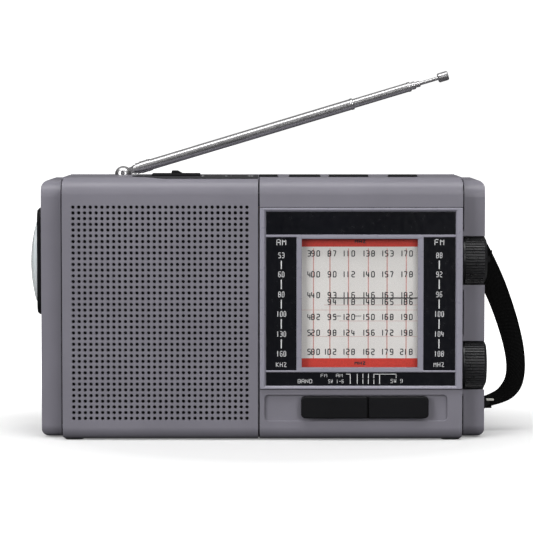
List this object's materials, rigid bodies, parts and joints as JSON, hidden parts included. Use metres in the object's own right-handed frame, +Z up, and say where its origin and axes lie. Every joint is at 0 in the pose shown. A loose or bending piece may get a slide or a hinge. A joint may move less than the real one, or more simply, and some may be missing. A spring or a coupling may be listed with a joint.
{
  "type": "portable shortwave receiver",
  "caption": "Portable multiband radio with a perforated speaker panel, a slide-rule dial, side knobs, a telescopic antenna, a side torch and a hand strap.",
  "frame": {"origin": "middle of the receiver's bounding box at the level of the feet's undersides", "axes": "+X to the right as seen from the front, +Y to the back, +Z up"},
  "size_m": [0.241, 0.071, 0.1757],
  "materials": {
    "case_plastic": "fine matt mould texture",
    "bezel_plastic": "satin, with bright polished edges",
    "black_plastic": "satin",
    "black_gloss": "gloss, with white print",
    "dial_paper": "matt, printed",
    "clear_plastic": "clear, polished",
    "needle_paint": "satin",
    "chrome": "polished",
    "steel": "plain",
    "spring_steel": "nickel plated",
    "white_plastic": "moulded",
    "drive_cord": "waxed thread",
    "grille_cloth": "woven",
    "cone_paper": "pressed paper",
    "magnet": "ferrite",
    "board": "phenolic laminate",
    "ferrite": "dull",
    "copper_wire": "enamelled",
    "reflector": "metallised",
    "lamp_glass": "clear",
    "rubber": "matt",
    "webbing": "woven nylon"
  },
  "bodies": {
    "case": {"speaker_panel": "case_plastic", "tuner_panel": "case_plastic", "rear_cabinet": "case_plastic", "battery_contacts": "spring_steel", "case_screws": "steel", "rubber_feet": "rubber", "speaker_cloth": "grille_cloth", "speaker_basket": "steel", "speaker_cone": "cone_paper", "speaker_magnet": "magnet", "dial_bezel": "bezel_plastic", "header_plate": "black_gloss", "am_scale_plate": "black_gloss", "fm_scale_plate": "black_gloss", "band_plate": "black_gloss", "dial_window": "clear_plastic", "dial_card": "dial_paper", "dial_chassis": "white_plastic", "dial_cord": "drive_cord", "tuning_capacitor": "white_plastic", "volume_control": "steel", "band_switch": "white_plastic", "main_board": "board", "ferrite_rod": "ferrite", "ferrite_coils": "copper_wire", "torch_bezel": "black_plastic", "torch_lens": "clear_plastic", "torch_reflector": "reflector", "torch_lamp": "lamp_glass", "top_panel": "black_plastic", "switch_plate": "black_plastic", "hand_strap": "webbing", "strap_tabs": "steel", "strap_rivets": "steel", "earphone_jack": "chrome", "dc_jack": "black_plastic"},
    "tuning": {"tuning_knob": "black_plastic", "tuning_spindle": "steel"},
    "volume": {"volume_knob": "black_plastic", "volume_spindle": "steel"},
    "pointer": {"dial_pointer": "needle_paint", "pointer_carriage": "white_plastic"},
    "drum": {"dial_drum": "white_plastic"},
    "upper_pulley": {"upper_pulley": "white_plastic"},
    "lower_pulley": {"lower_pulley": "white_plastic"},
    "band": {"band_slider": "black_plastic"},
    "torch_switch": {"torch_switch_knob": "black_plastic"},
    "power": {"power_button": "black_plastic"},
    "tone": {"tone_button": "black_plastic"},
    "stereo": {"stereo_button": "black_plastic"},
    "dial_light": {"dial_light_button": "black_plastic"},
    "door": {"battery_door": "case_plastic"},
    "turret": {"antenna_turret": "chrome"},
    "arm": {"antenna_knuckle": "chrome", "antenna_pin": "chrome", "antenna_tube_1": "chrome"},
    "section_2": {"antenna_tube_2": "chrome"},
    "section_3": {"antenna_tube_3": "chrome"},
    "section_4": {"antenna_tube_4": "chrome"},
    "tip": {"antenna_tip": "chrome"}
  },
  "joints": [
    {"name": "tuning_turn", "type": "hinge", "parent": "case", "child": "tuning", "pos_m": [0.0924, -0.01415, 0.085], "axis": [1, 0, 0], "range_deg": [-300, 372]},
    {"name": "pointer_slide", "type": "slide", "parent": "case", "child": "pointer", "axis": [0, 0, 1], "range_m": [-0.026, 0.021]},
    {"name": "drum_turn", "type": "hinge", "parent": "case", "child": "drum", "pos_m": [0.0774, -0.0115, 0.058], "axis": [1, 0, 0], "range_deg": [-77.6, 96.2]},
    {"name": "upper_pulley_turn", "type": "hinge", "parent": "case", "child": "upper_pulley", "pos_m": [0.0774, -0.025, 0.104], "axis": [1, 0, 0], "range_deg": [-344, 426]},
    {"name": "lower_pulley_turn", "type": "hinge", "parent": "case", "child": "lower_pulley", "pos_m": [0.0774, -0.025, 0.0385], "axis": [1, 0, 0], "range_deg": [-344, 426]},
    {"name": "volume_turn", "type": "hinge", "parent": "case", "child": "volume", "pos_m": [0.0924, -0.01415, 0.0349], "axis": [1, 0, 0], "range_deg": [-120, 180]},
    {"name": "band_slide", "type": "slide", "parent": "case", "child": "band", "axis": [1, 0, 0], "range_m": [-0.017, 0.0085]},
    {"name": "torch_switch_slide", "type": "slide", "parent": "case", "child": "torch_switch", "axis": [1, 0, 0], "range_m": [0, 0.004]},
    {"name": "battery_door_hinge", "type": "hinge", "parent": "case", "child": "door", "pos_m": [-0.0076, 0.0339, 0.0093], "axis": [-1, 0, 0], "range_deg": [0, 90]},
    {"name": "antenna_swivel", "type": "hinge", "parent": "case", "child": "turret", "pos_m": [-0.0765, 0.0225, 0.1248], "axis": [0, 0, 1], "range_deg": [-180, 180]},
    {"name": "antenna_tilt", "type": "hinge", "parent": "turret", "child": "arm", "pos_m": [-0.0765, 0.0225, 0.1257], "axis": [0, -1, 0], "range_deg": [-16.7, 73.3]},
    {"name": "section_2_slide", "type": "slide", "parent": "arm", "child": "section_2", "axis": [0.9578, 0, 0.2874], "range_m": [-0.027, 0.071]},
    {"name": "section_3_slide", "type": "slide", "parent": "section_2", "child": "section_3", "axis": [0.9578, 0, 0.2874], "range_m": [0, 0.098]},
    {"name": "section_4_slide", "type": "slide", "parent": "section_3", "child": "section_4", "axis": [0.9578, 0, 0.2874], "range_m": [0, 0.098]},
    {"name": "tip_slide", "type": "slide", "parent": "section_4", "child": "tip", "axis": [0.9578, 0, 0.2874], "range_m": [0, 0.098]},
    {"name": "power_press", "type": "slide", "parent": "case", "child": "power", "axis": [0, 0, -1], "range_m": [0, 0.001], "stiffness_N_per_m": 400},
    {"name": "tone_press", "type": "slide", "parent": "case", "child": "tone", "axis": [0, 0, -1], "range_m": [0, 0.001], "stiffness_N_per_m": 400},
    {"name": "stereo_press", "type": "slide", "parent": "case", "child": "stereo", "axis": [0, 0, -1], "range_m": [0, 0.001], "stiffness_N_per_m": 400},
    {"name": "dial_light_press", "type": "slide", "parent": "case", "child": "dial_light", "axis": [0, 0, -1], "range_m": [0, 0.001], "stiffness_N_per_m": 400}
  ],
  "couplings": [
    {"joint": "pointer_slide", "follows": "tuning_turn", "m_per_rad": -0.004},
    {"joint": "drum_turn", "follows": "tuning_turn", "ratio": 0.25806},
    {"joint": "upper_pulley_turn", "follows": "tuning_turn", "ratio": 1.1429},
    {"joint": "lower_pulley_turn", "follows": "tuning_turn", "ratio": 1.1429}
  ]
}
